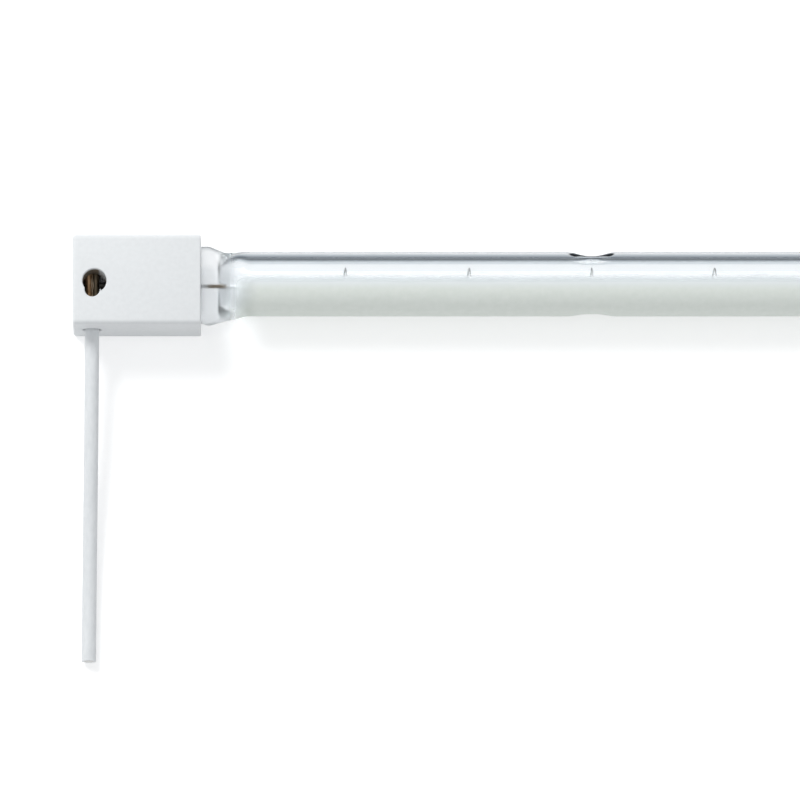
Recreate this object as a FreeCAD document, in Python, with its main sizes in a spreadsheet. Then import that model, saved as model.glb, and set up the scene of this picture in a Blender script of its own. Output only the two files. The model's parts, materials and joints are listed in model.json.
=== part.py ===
import FreeCAD, Part

import math
import os

import Sketcher

# Linear halogen heat lamp, lying on a flat surface as it comes to rest on its two caps.
# X runs along the tube, the flying leads leave toward -Y, and Z is up from the surface.
# The origin is under the middle of the lamp. Every piece of the left end is mirrored for the right end.

Vector = FreeCAD.Vector
ALONG_X = FreeCAD.Rotation(Vector(0, 1, 0), 90)
ALONG_Y = FreeCAD.Rotation(Vector(1, 0, 0), -90)
LEAD_SIDES = 16

# Millimetres that a sketch's lines have before its constraints size them
FIRST_GUESS = 1.0

# Driving dimensions in millimetres, degrees and counts

SIZES = [
    ("tube_diameter", 10.0, "outside of the quartz tube"),
    ("tube_wall", 1.3, "wall of the quartz tube"),
    ("tube_offset", 0.3, "tube's axis from the caps' middle, away from the leads"),
    ("tube_lift", 0.3, "from the tube up and down to the caps' broad faces"),
    ("cold_length", 14.4, "from the coil's end to the bore's end"),
    ("support_count", 15, "filament supports along the coil"),
    ("support_inset", 4.9, "from the coil's end to the first support"),
    ("dimple_count", 3, "supports that a dent in the tube holds"),
    ("dimple_radius", 12.6, "radius of the dent that a jaw leaves in the tube"),
    ("dimple_depth", 0.62, "depth of the dent on the clear side"),
    ("dimple_depth_coated", 0.35, "depth of the dent on the coated side"),
    ("coating_thickness", 0.15, "reflector coating on the tube"),
    ("coating_angle", 160.0, "arc of the tube that the coating covers"),
    ("neck_length", 3.3, "from the bore's end back to the end of the round tube"),
    ("neck_middle", 0.5, "from the bore's end back to the neck's middle"),
    ("neck_spread", 0.7, "neck's middle wider than the tube"),
    ("neck_height", 6.3, "height of the neck's middle"),
    ("neck_corner_inset", 1.15, "neck's corners in from its sides"),
    ("neck_corner_up", 2.5, "neck's corners from its middle, upward"),
    ("neck_shift", -0.3, "neck's middle from the caps' middle"),
    ("ear_distance", 2.0, "from the bore's end to the pinch's widest place"),
    ("ear_spread", 2.64, "pinch's widest place wider than the tube"),
    ("ear_shift", -0.1, "widest place from the caps' middle"),
    ("mouth_reach", 3.3, "from the bore's end to the cap's mouth"),
    ("mouth_spread", 2.2, "pinch at the mouth wider than the tube"),
    ("mouth_shift", 0.1, "pinch at the mouth from the caps' middle"),
    ("pinch_taper", 1.5, "from the cap's mouth to where the pinch has its even width"),
    ("pinch_spread", 1.6, "even part of the pinch wider than the tube"),
    ("pinch_thickness", 3.0, "thickness of the flat pinch"),
    ("bore_taper", 4.5, "from the bore's end back to where it is round"),
    ("bore_bend", 1.8, "from the bore's end back to the middle of its taper"),
    ("bore_bend_height", 4.0, "height of the bore at the middle of its taper"),
    ("bore_bend_corner_inset", 0.8, "corners of the bore there, in from its sides"),
    ("bore_bend_corner_up", 1.4, "corners of the bore there, upward"),
    ("bore_slit_inset", 0.65, "bore's end narrower than the bore, at each side"),
    ("bore_slit_height", 0.7, "height of the bore's end"),
    ("filament_drop", 0.5, "filament's axis from the tube's axis, toward the leads"),
    ("coil_diameter", 1.86, "outside of the filament's coil"),
    ("coil_wire", 0.25, "tungsten wire of the coil"),
    ("heated_length", 280.0, "length of the coil"),
    ("support_wire", 0.35, "tungsten wire of a support"),
    ("grip_gap", 0.03, "between the coil and a support's inner turns"),
    ("grip_turns", 1.2, "turns of a support round the coil"),
    ("grip_pitch", 0.42, "advance of a support in one turn round the coil"),
    ("loop_gap", 0.05, "between a support's loop and the bore"),
    ("loop_pitch", 1.2, "advance of a support's loop in one turn"),
    ("inner_lead_diameter", 0.6, "wire from the foil to the coil"),
    ("inner_lead_lap", 1.5, "length of the inner lead on the foil"),
    ("spud_length", 4.0, "overwound end of the inner lead inside the coil"),
    ("foil_inset", 3.6, "from the bore's end to the foil"),
    ("foil_end_seal", 2.9, "from the foil to the pinch's outer end"),
    ("foil_width", 3.0, "width of the foil"),
    ("foil_thickness", 0.05, "thickness of the foil"),
    ("pin_diameter", 1.0, "pin from the foil to the splice"),
    ("pin_lap", 2.5, "length of the pin on the foil"),
    ("weld_flat", 0.03, "depth of the flat that welding leaves on a wire"),
    ("cap_length", 20.0, "length of the ceramic cap"),
    ("cap_side_wall", 0.775, "ceramic beside the slot"),
    ("cap_edge_radius", 1.0, "rounding of the cap's long edges"),
    ("cap_end_chamfer", 0.45, "bevel round the cap's outer face"),
    ("slot_side_gap", 0.25, "between the pinch's edges at the mouth and the slot"),
    ("slot_gap", 0.4, "above and below the pinch in the slot"),
    ("slot_end_gap", 0.5, "between the pinch's outer end and the slot's bottom"),
    ("cement_recess", 0.4, "from the cap's mouth to the cement"),
    ("hole_inset", 3.4, "from the cap's outer face to the middle of the splice hole"),
    ("hole_offset", -0.5, "splice hole from the cap's middle"),
    ("hole_width", 3.8, "splice hole along the cap"),
    ("hole_length", 4.4, "splice hole across the cap"),
    ("hole_floor_drop", 2.0, "floor of the splice hole below the pin's axis"),
    ("hole_wall", 2.5, "ceramic between the slot and the splice hole"),
    ("lead_inset", 2.97, "from the cap's outer face to the lead's axis"),
    ("lead_clearance", 0.325, "round the lead in the cap's side bore"),
    ("core_clearance", 0.525, "between the conductor's end and that bore's bottom"),
    ("pin_clearance", 0.15, "round the pin in the cap"),
    ("splice_width", 2.27, "width of the crimp ferrule"),
    ("splice_wall", 0.3, "sheet of the crimp ferrule"),
    ("splice_length", 4.25, "length of the crimp ferrule"),
    ("splice_front", 1.35, "ferrule's far end from the cap's middle"),
    ("wing_drop", 0.25, "tips of the ferrule's wings below its widest place"),
    ("core_stub", 0.7, "conductor past the ferrule"),
    ("lead_diameter", 2.25, "insulated flying lead"),
    ("lead_entry", 3.7, "insulation inside the cap"),
]

# Sizes that follow from the driving ones

FOLLOWING = [
    ("tube_radius", "=tube_diameter / 2"),
    ("bore_radius", "=tube_radius - tube_wall"),
    ("bore_end", "=heated_length / 2 + cold_length"),
    ("support_pitch", "=(heated_length - 2 * support_inset) / (support_count - 1)"),
    ("tube_reach", "=bore_end - neck_length"),
    ("neck_width", "=tube_diameter + neck_spread"),
    ("ear_width", "=tube_diameter + ear_spread"),
    ("mouth_width", "=tube_diameter + mouth_spread"),
    ("pinch_width", "=tube_diameter + pinch_spread"),
    ("slot_width", "=mouth_width + 2 * slot_side_gap"),
    ("slot_height", "=pinch_thickness + 2 * slot_gap"),
    ("slot_depth", "=cap_length - hole_inset - hole_width / 2 - hole_wall"),
    ("cap_width", "=slot_width + 2 * cap_side_wall"),
    ("cap_thickness", "=tube_diameter + 2 * tube_lift"),
    ("cap_mouth", "=bore_end + mouth_reach"),
    ("cap_face", "=cap_mouth + cap_length"),
    ("pinch_end", "=cap_mouth + slot_depth - slot_end_gap"),
    ("axis_height", "=cap_thickness / 2"),
    ("foil_top", "=axis_height - pin_diameter / 2 + weld_flat"),
    ("coil_height", "=foil_top - weld_flat + inner_lead_diameter / 2"),
    ("coil_offset", "=tube_offset - filament_drop"),
    ("coil_bore_radius", "=coil_diameter / 2 - coil_wire"),
    ("foil_start", "=bore_end + foil_inset"),
    ("foil_end", "=pinch_end - foil_end_seal"),
    ("lead_x", "=cap_face - lead_inset"),
    ("lead_start", "=cap_width / 2 - lead_entry"),
    ("lead_bore_depth", "=cap_width / 2 + splice_front + core_stub + core_clearance"),
]

document = FreeCAD.newDocument("linear_halogen_lamp")
sheet = document.addObject("Spreadsheet::Sheet", "Sizes")


def fill_sheet():
    """Write each size, its alias and its meaning in one row."""
    for row, (name, value, meaning) in enumerate(SIZES, start=1):
        sheet.set(f"A{row}", name)
        sheet.set(f"B{row}", str(value))
        sheet.set(f"C{row}", meaning)
        sheet.setAlias(f"B{row}", name)
    for row, (name, formula) in enumerate(FOLLOWING, start=len(SIZES) + 1):
        sheet.set(f"A{row}", name)
        sheet.set(f"B{row}", formula)
        sheet.setAlias(f"B{row}", name)
    document.recompute()


def size(name):
    """One value of the sheet as a number."""
    return float(sheet.get(name))


def add(kind, name, **formulas):
    """An object of the document with its properties bound to the sheet."""
    thing = document.addObject(kind, name)
    bind(thing, **formulas)
    return thing


def bind(thing, **formulas):
    """Bind properties to formulas in which each word is a name of the sheet."""
    for name, formula in formulas.items():
        words = [f"Sizes.{word}" if word.replace("_", "").isalpha() else word for word in formula.split()]
        thing.setExpression(name.replace("__", "."), " ".join(words))


def place(thing, x, y, z, rotation=None):
    """Put an object at a point given by formulas."""
    if rotation is not None:
        thing.Placement = FreeCAD.Placement(Vector(0, 0, 0), rotation)
    bind(thing, Placement__Base__x=x, Placement__Base__y=y, Placement__Base__z=z)
    return thing


def rod(name, radius, length, x, y, z, rotation=ALONG_X):
    """A cylinder that starts at a point and runs along X or Y."""
    cylinder = add("Part::Cylinder", name, Radius=radius, Height=length)
    return place(cylinder, x, y, z, rotation)


def cut(name, base, tool):
    """The base without the tool."""
    result = document.addObject("Part::Cut", name)
    result.Base = base
    result.Tool = tool
    return result


def fuse(name, pieces):
    """Several solids joined."""
    result = document.addObject("Part::MultiFuse", name)
    result.Shapes = pieces
    return result


def mirror(source, name):
    """The right end's twin of a piece of the left end."""
    result = document.addObject("Part::Mirroring", name)
    result.Source = source
    result.Normal = Vector(1, 0, 0)
    return result


def shape_feature(name, shape):
    """A free form that is built with Part's own functions."""
    feature = document.addObject("Part::Feature", name)
    feature.Shape = shape
    return feature


def section(x, middle, width, height, corner_across, corner_up):
    """A closed section across the tube: two sides and a top and bottom that meet at four corners.

    A side, top or bottom is an arc through its middle point, or straight where the corner lies level.
    """
    centre = Vector(x, middle, size("axis_height"))

    def curve(start, through, stop):
        if abs(through.z - start.z) < 0.0001:
            return Part.LineSegment(centre + start, centre + stop).toShape()
        return Part.Arc(centre + start, centre + through, centre + stop).toShape()

    lower_near = Vector(0, -corner_across, -corner_up)
    upper_near = Vector(0, -corner_across, corner_up)
    lower_far = Vector(0, corner_across, -corner_up)
    upper_far = Vector(0, corner_across, corner_up)
    return Part.Wire(
        [
            curve(lower_far, Vector(0, width / 2, 0), upper_far),
            curve(upper_far, Vector(0, 0, height / 2), upper_near),
            curve(upper_near, Vector(0, -width / 2, 0), lower_near),
            curve(lower_near, Vector(0, 0, -height / 2), lower_far),
        ]
    )


def round_section(x, radius):
    """A circle about the tube's axis, in four arcs."""
    corner = radius * math.sqrt(0.5)
    return section(x, size("tube_offset"), 2 * radius, 2 * radius, corner, corner)


def flat_section(x, middle, width):
    """The pinch's section: flat above and below, half round at the edges."""
    half = size("pinch_thickness") / 2
    return section(x, middle, width, 2 * half, width / 2 - half, half)


def make_pinch():
    """The left end of the tube's outside: a neck from round to flat, its ears and the flat pinch."""
    bore_end = size("bore_end")
    mouth = size("cap_mouth")
    ear = flat_section(-bore_end - size("ear_distance"), size("ear_shift"), size("ear_width"))
    neck_middle = section(
        -bore_end + size("neck_middle"),
        size("neck_shift"),
        size("neck_width"),
        size("neck_height"),
        size("neck_width") / 2 - size("neck_corner_inset"),
        size("neck_corner_up"),
    )
    round_end = round_section(-size("tube_reach"), size("tube_radius"))
    neck = Part.makeLoft([round_end, neck_middle, ear], True, False)
    flat_sections = [
        ear,
        flat_section(-mouth, size("mouth_shift"), size("mouth_width")),
        flat_section(-mouth - size("pinch_taper"), 0, size("pinch_width")),
        flat_section(-size("pinch_end"), 0, size("pinch_width")),
    ]
    flat = Part.makeLoft(flat_sections, True, True)
    return shape_feature("pinch_outside", neck.fuse(flat))


def make_bore_end():
    """The left end of the bore, which narrows to a slit where the quartz is pressed shut."""
    bore_end = size("bore_end")
    bend = section(
        -bore_end + size("bore_bend"),
        size("tube_offset"),
        2 * size("bore_radius"),
        size("bore_bend_height"),
        size("bore_radius") - size("bore_bend_corner_inset"),
        size("bore_bend_corner_up"),
    )
    half_width = size("bore_radius") - size("bore_slit_inset")
    half_height = size("bore_slit_height") / 2
    slit = section(
        -bore_end,
        size("coil_offset"),
        2 * half_width,
        2 * half_height,
        half_width - half_height,
        half_height,
    )
    round_end = round_section(-bore_end + size("bore_taper"), size("bore_radius"))
    return shape_feature("bore_taper_end", Part.makeLoft([round_end, bend, slit], True, True))


def stations():
    """Each support's number and its place along X, in pitches from the lamp's middle."""
    count = int(size("support_count"))
    return [(number, number - (count + 1) / 2) for number in range(1, count + 1)]


def dimples():
    """Places, in pitches, of the supports that a dent holds, evenly spaced along the tube."""
    places = [pitches for number, pitches in stations()]
    count = int(size("dimple_count"))
    step = len(places) / count
    return [places[int((number + 0.5) * step)] for number in range(count)]


def ball(name, pitches, side, radius, depth):
    """The ball whose cap is a dent in the tube, on the clear side (+) or the coated side (-)."""
    thing = add("Part::Sphere", name, Radius=radius)
    across = f"tube_offset {side} ( tube_radius - {depth} + dimple_radius )"
    return place(thing, f"{pitches} * support_pitch", across, "axis_height")


def make_quartz():
    """Outside less bore, dents, foils and the wires that the pinches close on."""
    pinch = make_pinch()
    tube = rod("tube_outside", "tube_radius", "2 * tube_reach", "- tube_reach", "tube_offset", "axis_height")
    outside = fuse("envelope_outside", [tube, pinch, mirror(pinch, "pinch_outside_right")])
    clear_dents = []
    coated_dents = []
    bumps = []
    for number, pitches in enumerate(dimples(), start=1):
        clear_dents.append(ball(f"clear_dent_{number}", pitches, "+", "dimple_radius", "dimple_depth"))
        coated_dents.append(
            ball(f"coated_dent_{number}", pitches, "-", "dimple_radius", "dimple_depth_coated")
        )
        bumps.append(ball(f"bump_{number}", pitches, "+", "dimple_radius + tube_wall", "dimple_depth"))
    dented = cut("dented_outside", outside, fuse("dents", clear_dents + coated_dents))
    round_bore = rod(
        "round_bore",
        "bore_radius",
        "2 * ( bore_end - bore_taper )",
        "bore_taper - bore_end",
        "tube_offset",
        "axis_height",
    )
    bore_end = make_bore_end()
    bore = fuse("bore", [round_bore, bore_end, mirror(bore_end, "bore_taper_end_right")])
    dented_bore = cut("dented_bore", bore, fuse("bumps", bumps))
    return dented, cut("hollow_envelope", dented, dented_bore)


def make_coating(dented_tube):
    """A thin white shell on the lead side of the tube, which follows the dents."""
    wedge = rod(
        "coating_wedge",
        "tube_radius + coating_thickness",
        "2 * tube_reach",
        "- tube_reach",
        "tube_offset",
        "axis_height",
    )
    bind(wedge, Angle="coating_angle")
    turn = FreeCAD.Rotation(Vector(1, 0, 0), 270 - size("coating_angle") / 2)
    wedge.Placement = FreeCAD.Placement(wedge.Placement.Base, turn.multiply(ALONG_X))
    radius = "dimple_radius - coating_thickness"
    dents = [
        ball(f"coating_dent_{number}", pitches, "-", radius, "dimple_depth_coated")
        for number, pitches in enumerate(dimples(), start=1)
    ]
    outside = cut("coating_outside", wedge, fuse("coating_dents", dents))
    return cut("reflector_coating", outside, dented_tube)


def make_filament():
    """The coil, drawn as a plain tube of its outer and inner size."""
    across = ["- heated_length / 2", "coil_offset", "coil_height"]
    outside = rod("coil_outside", "coil_diameter / 2", "heated_length", *across)
    inside = rod("coil_inside", "coil_bore_radius", "heated_length", *across)
    return cut("filament", outside, inside)


def make_inner_lead():
    """The wire from the foil to the coil, with the overwound end that the coil is screwed on."""
    wire = rod(
        "inner_wire",
        "inner_lead_diameter / 2",
        "foil_start + inner_lead_lap - heated_length / 2",
        "- foil_start - inner_lead_lap",
        "coil_offset",
        "coil_height",
    )
    spud = rod(
        "spud", "coil_bore_radius", "spud_length", "- heated_length / 2", "coil_offset", "coil_height"
    )
    return fuse("inner_lead_outside", [wire, spud])


def make_foil():
    """The strip of foil that carries the current through the seal."""
    foil = add("Part::Box", "left_foil")
    bind(foil, Length="foil_end - foil_start", Width="foil_width", Height="foil_thickness")
    return place(foil, "- foil_end", "coil_offset - foil_width / 2", "foil_top - foil_thickness")


def make_pin():
    """The pin from the foil to the flank of the splice."""
    return rod(
        "pin_outside",
        "pin_diameter / 2",
        "lead_x - splice_width / 2 - foil_end + pin_lap",
        "- lead_x + splice_width / 2",
        "0",
        "axis_height",
    )


def crimp(prefix, wall, start, length):
    """A half-round body with two rolled lobes on top, run along Y: the form of a closed crimp."""
    half = rod(
        f"{prefix}_half", f"splice_width / 2 - {wall}", length, "- lead_x", start, "axis_height", ALONG_Y
    )
    half.Angle = 180
    pieces = [half]
    for side, sign in (("near", "-"), ("far", "+")):
        pieces.append(
            rod(
                f"{prefix}_{side}_lobe",
                f"splice_width / 4 - {wall}",
                length,
                f"- lead_x {sign} splice_width / 4",
                start,
                "axis_height",
                ALONG_Y,
            )
        )
    return fuse(f"{prefix}_form", pieces)


def wing_tips(prefix, start, length):
    """The two wing tips of the ferrule, pressed down side by side into the conductor."""
    tips = add(
        "Part::Box",
        f"{prefix}_wing_tips",
        Length="2 * splice_wall",
        Width=length,
        Height="wing_drop + splice_width / 4",
    )
    return place(tips, "- lead_x - splice_wall", start, "axis_height - wing_drop")


def make_splice():
    """The crimp ferrule: its outer form less the channel that the conductor fills."""
    start = "splice_front - splice_length"
    outside = crimp("ferrule", "0", start, "splice_length")
    channel = crimp("channel", "splice_wall", start, "splice_length")
    channel = cut("ferrule_channel", channel, wing_tips("channel", start, "splice_length"))
    return cut("left_splice", outside, channel)


def make_lead_core():
    """The bared end of the lead's conductor, pressed to the channel's section."""
    length = "splice_front + core_stub + lead_start"
    filled = crimp("core", "splice_wall", "- lead_start", length)
    return cut("left_lead_core", filled, wing_tips("core", "- lead_start", length))


def plane_of(body, role):
    """One of a body's own origin planes."""
    for feature in body.Origin.OriginFeatures:
        if feature.Role == role:
            return feature
    raise ValueError(role)


def sketch_on(body, name, role, x, y, z):
    """A sketch on an origin plane of its body, moved by formulas in the plane's own frame."""
    sketch = body.newObject("Sketcher::SketchObject", name)
    sketch.AttachmentSupport = [(plane_of(body, role), "")]
    sketch.MapMode = "FlatFace"
    bind(sketch, AttachmentOffset__Base__x=x, AttachmentOffset__Base__y=y, AttachmentOffset__Base__z=z)
    return sketch


def constrain(sketch, name, formula, *constraint):
    """A named dimension of a sketch, bound to a formula."""
    index = sketch.addConstraint(Sketcher.Constraint(*constraint))
    sketch.renameConstraint(index, name)
    bind(sketch, **{f"Constraints__{name}": formula})


def draw_rectangle(sketch, width, height):
    """A rectangle about the sketch's origin."""
    signs = [(-1, -1), (1, -1), (1, 1), (-1, 1)]
    corners = [Vector(FIRST_GUESS * across, FIRST_GUESS * up, 0) for across, up in signs]
    for number, corner in enumerate(corners):
        sketch.addGeometry(Part.LineSegment(corner, corners[(number + 1) % 4]))
    for number in range(4):
        sketch.addConstraint(Sketcher.Constraint("Coincident", number, 2, (number + 1) % 4, 1))
        sketch.addConstraint(Sketcher.Constraint("Vertical" if number % 2 else "Horizontal", number))
    sketch.addConstraint(Sketcher.Constraint("Symmetric", 0, 1, 2, 1, -1, 1))
    constrain(sketch, "width", width, "DistanceX", 0, 1, 0, 2, 2 * FIRST_GUESS)
    constrain(sketch, "height", height, "DistanceY", 1, 1, 1, 2, 2 * FIRST_GUESS)


def draw_circle(sketch, radius):
    """A circle about the sketch's origin."""
    sketch.addGeometry(Part.Circle(Vector(0, 0, 0), Vector(0, 0, 1), FIRST_GUESS))
    sketch.addConstraint(Sketcher.Constraint("Coincident", 0, 3, -1, 1))
    constrain(sketch, "radius", radius, "Radius", 0, FIRST_GUESS)


def draw_round_slot(sketch, span, radius, upright):
    """Two half circles and two straight sides about the sketch's origin, lying or upright."""
    turn = 90 if upright else 0
    rotation = FreeCAD.Rotation(Vector(0, 0, 1), turn)
    reach = FIRST_GUESS * 2

    def corner(across, up):
        return rotation.multVec(Vector(reach * across, FIRST_GUESS * up, 0))

    far = Part.Circle(corner(1, 0), Vector(0, 0, 1), FIRST_GUESS)
    near = Part.Circle(corner(-1, 0), Vector(0, 0, 1), FIRST_GUESS)
    quarter = math.pi / 2
    base = math.radians(turn)
    sketch.addGeometry(Part.ArcOfCircle(far, base - quarter, base + quarter))
    sketch.addGeometry(Part.LineSegment(corner(1, 1), corner(-1, 1)))
    sketch.addGeometry(Part.ArcOfCircle(near, base + quarter, base + 3 * quarter))
    sketch.addGeometry(Part.LineSegment(corner(-1, -1), corner(1, -1)))
    for number in range(4):
        sketch.addConstraint(Sketcher.Constraint("Tangent", number, 2, (number + 1) % 4, 1))
    for side in (1, 3):
        sketch.addConstraint(Sketcher.Constraint("Vertical" if upright else "Horizontal", side))
    sketch.addConstraint(Sketcher.Constraint("Symmetric", 0, 3, 2, 3, -1, 1))
    along = "DistanceY" if upright else "DistanceX"
    constrain(sketch, "span", span, along, 2, 3, 0, 3, 2 * reach)
    constrain(sketch, "radius", radius, "Radius", 0, FIRST_GUESS)


def pad(body, name, sketch, length):
    """Raise a sketch into a solid."""
    feature = body.newObject("PartDesign::Pad", name)
    feature.Profile = sketch
    bind(feature, Length=length)
    document.recompute()
    return feature


def pocket(body, name, sketch, depth):
    """Sink a sketch into the solid, and make sure that it took something away."""
    before = body.Shape.Volume
    feature = body.newObject("PartDesign::Pocket", name)
    feature.Profile = sketch
    bind(feature, Length=depth)
    document.recompute()
    if body.Shape.Volume > before - 0.01:
        raise ValueError(f"{name} cuts nothing")
    return feature


def ease_edges(body, kind, name, base, wanted, **formulas):
    """Round or bevel those edges of a feature that a test picks."""
    edges = [f"Edge{number}" for number, edge in enumerate(base.Shape.Edges, start=1) if wanted(edge)]
    feature = body.newObject(kind, name)
    feature.Base = (base, edges)
    bind(feature, **formulas)
    document.recompute()
    return feature


def make_cap():
    """The pressed ceramic block: slot for the pinch, bores for pin and lead, hole over the splice."""
    body = document.addObject("PartDesign::Body", "left_cap")
    section = sketch_on(body, "cap_section", "YZ_Plane", "0", "axis_height", "- cap_face")
    draw_rectangle(section, "cap_width", "cap_thickness")
    block = pad(body, "cap_block", section, "cap_length")

    def runs_along(edge):
        return edge.BoundBox.XLength > size("cap_length") / 2

    def lies_on_outer_face(edge):
        return edge.BoundBox.XMax < 0.001 - size("cap_face")

    rounded = ease_edges(
        body, "PartDesign::Fillet", "cap_long_edges", block, runs_along, Radius="cap_edge_radius"
    )
    ease_edges(
        body, "PartDesign::Chamfer", "cap_outer_edges", rounded, lies_on_outer_face, Size="cap_end_chamfer"
    )
    slot = sketch_on(body, "slot_section", "YZ_Plane", "0", "axis_height", "- cap_mouth")
    draw_round_slot(slot, "slot_width - slot_height", "slot_height / 2", False)
    pocket(body, "pinch_slot", slot, "slot_depth")
    pin_bore = sketch_on(body, "pin_bore_section", "YZ_Plane", "0", "axis_height", "- cap_mouth")
    draw_circle(pin_bore, "pin_diameter / 2 + pin_clearance")
    pocket(body, "pin_bore", pin_bore, "cap_length - hole_inset")
    hole = sketch_on(
        body, "hole_section", "XY_Plane", "hole_inset - cap_face", "hole_offset", "cap_thickness"
    )
    draw_round_slot(hole, "hole_length - hole_width", "hole_width / 2", True)
    pocket(body, "splice_hole", hole, "axis_height + hole_floor_drop")
    lead_bore = sketch_on(body, "lead_bore_section", "XZ_Plane", "- lead_x", "axis_height", "cap_width / 2")
    draw_circle(lead_bore, "lead_diameter / 2 + lead_clearance")
    pocket(body, "lead_bore", lead_bore, "lead_bore_depth")
    return body


def make_cement(envelope):
    """What fills the slot round the pinch, from its outer end to just inside the cap's mouth."""
    start = "- pinch_end"
    length = "pinch_end - cap_mouth - cement_recess"
    lead_side = "( slot_height - slot_width ) / 2"
    clear_side = "( slot_width - slot_height ) / 2"
    middle = add(
        "Part::Box", "cement_middle", Length=length, Width="slot_width - slot_height", Height="slot_height"
    )
    place(middle, start, lead_side, "axis_height - slot_height / 2")
    lead_end = rod("cement_lead_side", "slot_height / 2", length, start, lead_side, "axis_height")
    clear_end = rod("cement_clear_side", "slot_height / 2", length, start, clear_side, "axis_height")
    filled = fuse("filled_slot", [middle, lead_end, clear_end])
    return cut("left_cement", filled, envelope)


def spiral_points():
    """The centre line of a support: close turns round the coil, then one wide loop near the bore."""
    wire_radius = size("support_wire") / 2
    grip_sides = 6
    loop_sides = 8
    spread = loop_sides // 4
    hang = math.hypot(size("filament_drop"), size("axis_height") - size("coil_height"))
    grip = (size("coil_diameter") / 2 + wire_radius + size("grip_gap")) / math.cos(math.pi / grip_sides)
    loop = size("bore_radius") - hang - size("loop_gap") - wire_radius
    line = [(0.0, 0.0, grip)]

    def advance(sides, pitch, radius):
        x, angle, last_radius = line[-1]
        line.append((x + pitch / sides, angle + 2 * math.pi / sides, radius))

    for step in range(round(size("grip_turns") * grip_sides)):
        advance(grip_sides, size("grip_pitch"), grip)
    for step in range(1, spread + 1):
        advance(loop_sides, size("loop_pitch"), grip + (loop - grip) * step / spread)
    for step in range(loop_sides):
        advance(loop_sides, size("loop_pitch"), loop)
    middle = (line[-1][0] + line[-1 - loop_sides][0]) / 2
    return [
        Vector(x - middle, radius * math.cos(angle), radius * math.sin(angle)) for x, angle, radius in line
    ]


def wire_section(before, point, after):
    """Corners of the wire's four-sided section in the plane that halves the turn of its centre line."""
    radius = size("support_wire") / 2
    arriving = (point - before).normalize()
    leaving = (after - point).normalize()
    forward = (arriving + leaving).normalize()
    stretch = 1 / forward.dot(leaving)
    outward = Vector(0, point.y, point.z)
    outward = (outward - forward * outward.dot(forward)).normalize()
    sideways = forward.cross(outward)
    corners = []
    for step in range(5):
        angle = math.pi / 4 * (2 * step + 1)
        reach = outward * (radius * stretch * math.cos(angle))
        corners.append(point + reach + sideways * (radius * math.sin(angle)))
    return corners


def make_support_shape():
    """A four-sided wire along the spiral, mitred at each turn of its centre line."""
    points = spiral_points()
    before_first = points[0] * 2 - points[1]
    after_last = points[-1] * 2 - points[-2]
    line = [before_first, *points, after_last]
    rings = [wire_section(*line[number : number + 3]) for number in range(len(points))]
    faces = [Part.Face(Part.makePolygon(rings[0])), Part.Face(Part.makePolygon(rings[-1]))]
    for ring, following in zip(rings, rings[1:]):
        for corner in range(4):
            edges = [
                Part.LineSegment(side[corner], side[corner + 1]).toShape() for side in (ring, following)
            ]
            faces.append(Part.makeRuledSurface(*edges))
    shell = Part.Shell(faces)
    shell.sewShape()
    return Part.Solid(shell)


def make_supports():
    """One support at each station along the coil."""
    shape = make_support_shape()
    supports = []
    for number, pitches in stations():
        support = shape_feature(f"filament_support_{number:02d}", shape.copy())
        seat = Vector(pitches * size("support_pitch"), size("coil_offset"), size("coil_height"))
        support.Placement = FreeCAD.Placement(seat, FreeCAD.Rotation())
        supports.append(support)
    return supports


def lead_route():
    """Points of the left lead: out of the cap's side, down to the surface, then along it."""
    height = size("axis_height")
    rest = size("lead_diameter") / 2
    side = -size("cap_width") / 2
    x = -size("lead_x")
    return [
        Vector(x, -size("lead_start"), height),
        Vector(x, side - 11.2, height),
        Vector(x - 0.32, side - 36.8, rest),
        Vector(x - 0.42, side - 52.0, rest),
    ]


def rounded_path(points):
    """Straight runs joined by tangent arcs, each as large as its two runs allow."""
    edges = []
    start = points[0]
    for before, corner, after in zip(points, points[1:], points[2:]):
        back = before - corner
        ahead = after - corner
        reach = 0.45 * min(back.Length, ahead.Length)
        half_turn = (math.pi - back.getAngle(ahead)) / 2
        arc_radius = reach / math.tan(half_turn)
        back.normalize()
        ahead.normalize()
        first = corner + back * reach
        last = corner + ahead * reach
        middle_direction = (back + ahead).normalize()
        centre_distance = math.hypot(reach, arc_radius)
        middle = corner + middle_direction * (centre_distance - arc_radius)
        edges.append(Part.LineSegment(start, first).toShape())
        edges.append(Part.Arc(first, middle, last).toShape())
        print(f"lead bend radius {arc_radius:.1f} mm, turn {math.degrees(2 * half_turn):.1f} degrees")
        start = last
    edges.append(Part.LineSegment(start, points[-1]).toShape())
    return Part.Wire(edges)


def make_lead():
    """The insulated lead as one plain tube along its route, of flat strips that touch its round."""
    path = rounded_path(lead_route())
    start = path.Edges[0].Curve.value(path.Edges[0].FirstParameter)
    outline = []
    for step in range(LEAD_SIDES + 1):
        angle = 2 * math.pi / LEAD_SIDES * (step + 0.5)
        reach = size("lead_diameter") / 2 / math.cos(math.pi / LEAD_SIDES)
        outline.append(start + Vector(reach * math.cos(angle), 0, reach * math.sin(angle)))
    profile = Part.makePolygon(outline)
    solid = path.makePipeShell([profile], True, False)
    expected = Part.Face(profile).Area * path.Length
    print(f"lead length {path.Length:.2f} mm, volume {solid.Volume:.2f}, section x length {expected:.2f}")
    return shape_feature("left_lead", solid)


def check_document():
    """Stop at an object that failed or a sub-part with no sound shape."""
    document.recompute()
    for thing in document.Objects:
        if "Invalid" in thing.State or "Error" in thing.State:
            raise ValueError(f"{thing.Label} failed: {thing.State}")
    for piece in sub_parts:
        if piece.Shape.isNull() or not piece.Shape.isValid():
            raise ValueError(f"{piece.Label} has no valid shape")
        if len(piece.Shape.Solids) != 1:
            raise ValueError(f"{piece.Label} has {len(piece.Shape.Solids)} solids")


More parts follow.
